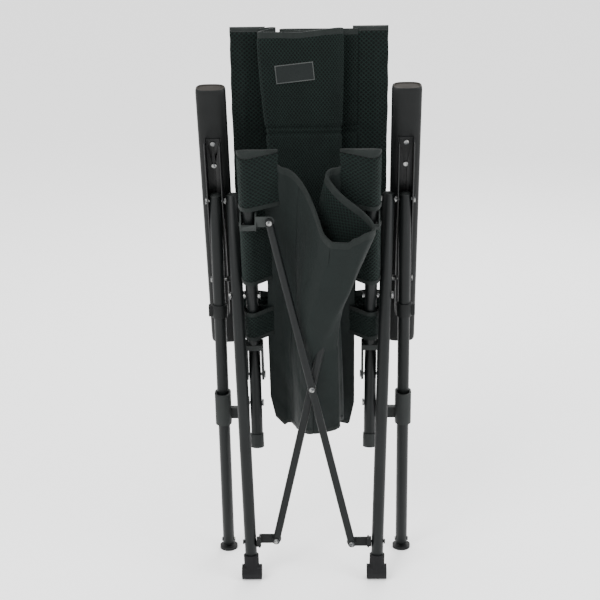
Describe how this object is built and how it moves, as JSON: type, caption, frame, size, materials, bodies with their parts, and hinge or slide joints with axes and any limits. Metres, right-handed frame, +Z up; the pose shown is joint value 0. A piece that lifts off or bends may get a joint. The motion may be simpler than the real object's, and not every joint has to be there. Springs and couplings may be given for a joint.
{
  "type": "folding camp chair",
  "caption": "Folding camp chair with padded armrests and a mesh back and seat, standing half folded, with crossed front bars and sliding back pivots.",
  "frame": {"origin": "middle of the bounding box at floor level", "axes": "+Z up, the chair's front faces -Y, +X is the chair's right as seen from the front"},
  "size_m": [0.388, 0.2826, 1.0001],
  "materials": {
    "tube_paint": "satin dark powder coat",
    "channel_paint": "satin black paint with bare edges",
    "hardware": "blackened steel with worn edges",
    "grey_plastic": "moulded dark grey nylon",
    "black_plastic": "moulded black nylon",
    "pad_plastic": "satin moulded armrest foam skin",
    "foot_rubber": "matt rubber",
    "foot_plastic": "moulded black foot",
    "mesh_fabric": "padded black air mesh",
    "seat_cloth": "plain woven coated polyester",
    "label_cloth": "plain woven patch"
  },
  "bodies": {
    "left_rear_foot": {"left_rear_foot": "foot_plastic"},
    "left_rear_leg": {"left_rear_leg": "tube_paint", "left_rear_plug": "grey_plastic", "left_foot_rivet": "hardware", "left_stop_collar": "black_plastic", "left_top_bolt": "hardware"},
    "left_front_leg": {"left_front_leg": "tube_paint", "left_front_plug": "grey_plastic", "left_front_foot": "foot_rubber", "left_seat_bolt": "hardware"},
    "left_armrest": {"left_arm_channel": "channel_paint", "left_arm_pad": "pad_plastic", "left_arm_screws": "hardware"},
    "left_seat_rail": {"left_seat_rail": "tube_paint", "left_rail_fork": "grey_plastic", "left_seat_panel": "mesh_fabric"},
    "left_upper_bracket": {"left_upper_bracket": "grey_plastic"},
    "left_lower_bracket": {"left_lower_bracket": "black_plastic"},
    "left_back_upright": {"left_back_upright": "tube_paint", "left_end_block": "grey_plastic", "left_upright_pins": "hardware", "left_back_panel": "mesh_fabric"},
    "left_slider": {"left_slider": "grey_plastic"},
    "right_rear_foot": {"right_rear_foot": "foot_plastic"},
    "right_rear_leg": {"right_rear_leg": "tube_paint", "right_rear_plug": "grey_plastic", "right_foot_rivet": "hardware", "right_stop_collar": "black_plastic", "right_top_bolt": "hardware"},
    "right_front_leg": {"right_front_leg": "tube_paint", "right_front_plug": "grey_plastic", "right_front_foot": "foot_rubber", "right_seat_bolt": "hardware"},
    "right_armrest": {"right_arm_channel": "channel_paint", "right_arm_pad": "pad_plastic", "right_arm_screws": "hardware"},
    "right_seat_rail": {"right_seat_rail": "tube_paint", "right_rail_fork": "grey_plastic", "right_seat_panel": "mesh_fabric"},
    "right_upper_bracket": {"right_upper_bracket": "grey_plastic"},
    "right_lower_bracket": {"right_lower_bracket": "black_plastic"},
    "right_back_upright": {"right_back_upright": "tube_paint", "right_end_block": "grey_plastic", "right_upright_pins": "hardware", "right_back_panel": "mesh_fabric"},
    "right_slider": {"right_slider": "grey_plastic"},
    "front_brace_bar": {"front_brace_bar": "tube_paint", "front_bar_rivets": "hardware", "brace_rivet": "hardware"},
    "rear_brace_bar": {"rear_brace_bar": "tube_paint", "rear_bar_rivets": "hardware"},
    "seat_fold": {"seat_fold": "seat_cloth"},
    "back_fold": {"back_fold": "mesh_fabric", "label_patch": "label_cloth"}
  },
  "joints": [
    {"name": "left_foot_swivel", "type": "hinge", "parent": "left_rear_foot", "child": "left_rear_leg", "pos_m": [-0.168, 0.04023, 0.018], "axis": [1, 0, 0], "range_deg": [0, 18.8]},
    {"name": "chair_fold", "type": "hinge", "parent": "left_rear_leg", "child": "left_front_leg", "pos_m": [-0.153, 0.0063, 0.70516], "axis": [-1, 0, 0], "range_deg": [0, 34.09]},
    {"name": "left_armrest_pivot", "type": "hinge", "parent": "left_rear_leg", "child": "left_armrest", "pos_m": [-0.168, 0.0063, 0.70516], "axis": [1, 0, 0], "range_deg": [0, 52.66]},
    {"name": "left_seat_rail_pivot", "type": "hinge", "parent": "left_front_leg", "child": "left_seat_rail", "pos_m": [-0.12, -0.01526, 0.53452], "axis": [1, 0, 0], "range_deg": [0, 83.34]},
    {"name": "left_upper_bracket_pivot", "type": "hinge", "parent": "left_seat_rail", "child": "left_upper_bracket", "pos_m": [-0.1068, -0.05972, 0.69342], "axis": [-1, 0, 0], "range_deg": [0, 68.16]},
    {"name": "left_lower_bracket_pivot", "type": "hinge", "parent": "left_front_leg", "child": "left_lower_bracket", "pos_m": [-0.11, -0.07366, 0.07219], "axis": [1, 0, 0], "range_deg": [0, 15.19]},
    {"name": "left_back_pivot", "type": "hinge", "parent": "left_armrest", "child": "left_back_upright", "pos_m": [-0.14, 0.05291, 0.54508], "axis": [-1, 0, 0], "range_deg": [0, 83.46]},
    {"name": "left_slider_pivot", "type": "hinge", "parent": "left_back_upright", "child": "left_slider", "pos_m": [-0.122, 0.02578, 0.31064], "axis": [1, 0, 0], "range_deg": [0, 30.8]},
    {"name": "front_bar_pivot", "type": "hinge", "parent": "left_upper_bracket", "child": "front_brace_bar", "pos_m": [-0.07, -0.07172, 0.68641], "axis": [0, -1, 0.0032], "range_deg": [0, 32.64]},
    {"name": "brace_centre_pivot", "type": "hinge", "parent": "front_brace_bar", "child": "rear_brace_bar", "pos_m": [0, -0.07269, 0.3793], "axis": [0, 1, -0.0032], "range_deg": [0, 65.27]},
    {"name": "right_legs_spread", "type": "slide", "parent": "left_rear_leg", "child": "right_rear_leg", "axis": [1, 0, 0], "range_m": [0, 0.30922]},
    {"name": "seat_fold_spread", "type": "slide", "parent": "left_seat_rail", "child": "seat_fold", "axis": [0.5834, 0.3706, 0.7227], "range_m": [0, 0.1578], "deforming": ["seat_fold"]},
    {"name": "right_seat_spread", "type": "slide", "parent": "seat_fold", "child": "right_seat_rail", "axis": [0.8613, -0.2319, -0.4521], "range_m": [0, 0.25218]},
    {"name": "back_fold_spread", "type": "slide", "parent": "left_back_upright", "child": "back_fold", "axis": [0.9363, 0.3488, -0.0404], "range_m": [0, 0.08554], "deforming": ["back_fold", "label_patch"]},
    {"name": "right_back_spread", "type": "slide", "parent": "back_fold", "child": "right_back_upright", "axis": [0.9915, -0.129, 0.0149], "range_m": [0, 0.23117]},
    {"name": "right_foot_swivel", "type": "hinge", "parent": "right_rear_leg", "child": "right_rear_foot", "pos_m": [0.168, 0.04023, 0.018], "axis": [-1, 0, 0], "range_deg": [0, 18.8]},
    {"name": "right_fold_pivot", "type": "hinge", "parent": "right_rear_leg", "child": "right_front_leg", "pos_m": [0.153, 0.0063, 0.70516], "axis": [-1, 0, 0], "range_deg": [0, 34.1]},
    {"name": "right_armrest_pivot", "type": "hinge", "parent": "right_rear_leg", "child": "right_armrest", "pos_m": [0.168, 0.0063, 0.70516], "axis": [1, 0, 0], "range_deg": [0, 52.66]},
    {"name": "right_upper_bracket_pivot", "type": "hinge", "parent": "right_seat_rail", "child": "right_upper_bracket", "pos_m": [0.1068, -0.05972, 0.69342], "axis": [-1, 0, 0], "range_deg": [0, 68.16]},
    {"name": "right_lower_bracket_pivot", "type": "hinge", "parent": "right_front_leg", "child": "right_lower_bracket", "pos_m": [0.11, -0.07366, 0.07219], "axis": [1, 0, 0], "range_deg": [0, 15.19]},
    {"name": "right_slider_pivot", "type": "hinge", "parent": "right_back_upright", "child": "right_slider", "pos_m": [0.122, 0.02578, 0.31064], "axis": [1, 0, 0], "range_deg": [0, 30.8]}
  ],
  "couplings": [
    {"joint": "left_foot_swivel", "follows": "chair_fold", "ratio": 0.55114},
    {"joint": "left_armrest_pivot", "follows": "chair_fold", "ratio": 1.5447},
    {"joint": "left_seat_rail_pivot", "follows": "chair_fold", "ratio": 2.4446},
    {"joint": "left_upper_bracket_pivot", "follows": "chair_fold", "ratio": 1.9993},
    {"joint": "left_lower_bracket_pivot", "follows": "chair_fold", "ratio": 0.44532},
    {"joint": "left_back_pivot", "follows": "chair_fold", "ratio": 2.4481},
    {"joint": "left_slider_pivot", "follows": "chair_fold", "ratio": 0.90333},
    {"joint": "front_bar_pivot", "follows": "chair_fold", "ratio": 0.95733},
    {"joint": "brace_centre_pivot", "follows": "chair_fold", "ratio": 1.9147},
    {"joint": "right_legs_spread", "follows": "chair_fold", "m_per_rad": 0.51959},
    {"joint": "seat_fold_spread", "follows": "chair_fold", "m_per_rad": 0.26507},
    {"joint": "right_seat_spread", "follows": "chair_fold", "m_per_rad": 0.42372},
    {"joint": "back_fold_spread", "follows": "chair_fold", "m_per_rad": 0.14362},
    {"joint": "right_back_spread", "follows": "chair_fold", "m_per_rad": 0.38841},
    {"joint": "right_foot_swivel", "follows": "chair_fold", "ratio": 0.55114},
    {"joint": "right_fold_pivot", "follows": "chair_fold", "ratio": 1},
    {"joint": "right_armrest_pivot", "follows": "chair_fold", "ratio": 1.5447},
    {"joint": "right_upper_bracket_pivot", "follows": "chair_fold", "ratio": 1.9993},
    {"joint": "right_lower_bracket_pivot", "follows": "chair_fold", "ratio": 0.44532},
    {"joint": "right_slider_pivot", "follows": "chair_fold", "ratio": 0.90333}
  ]
}
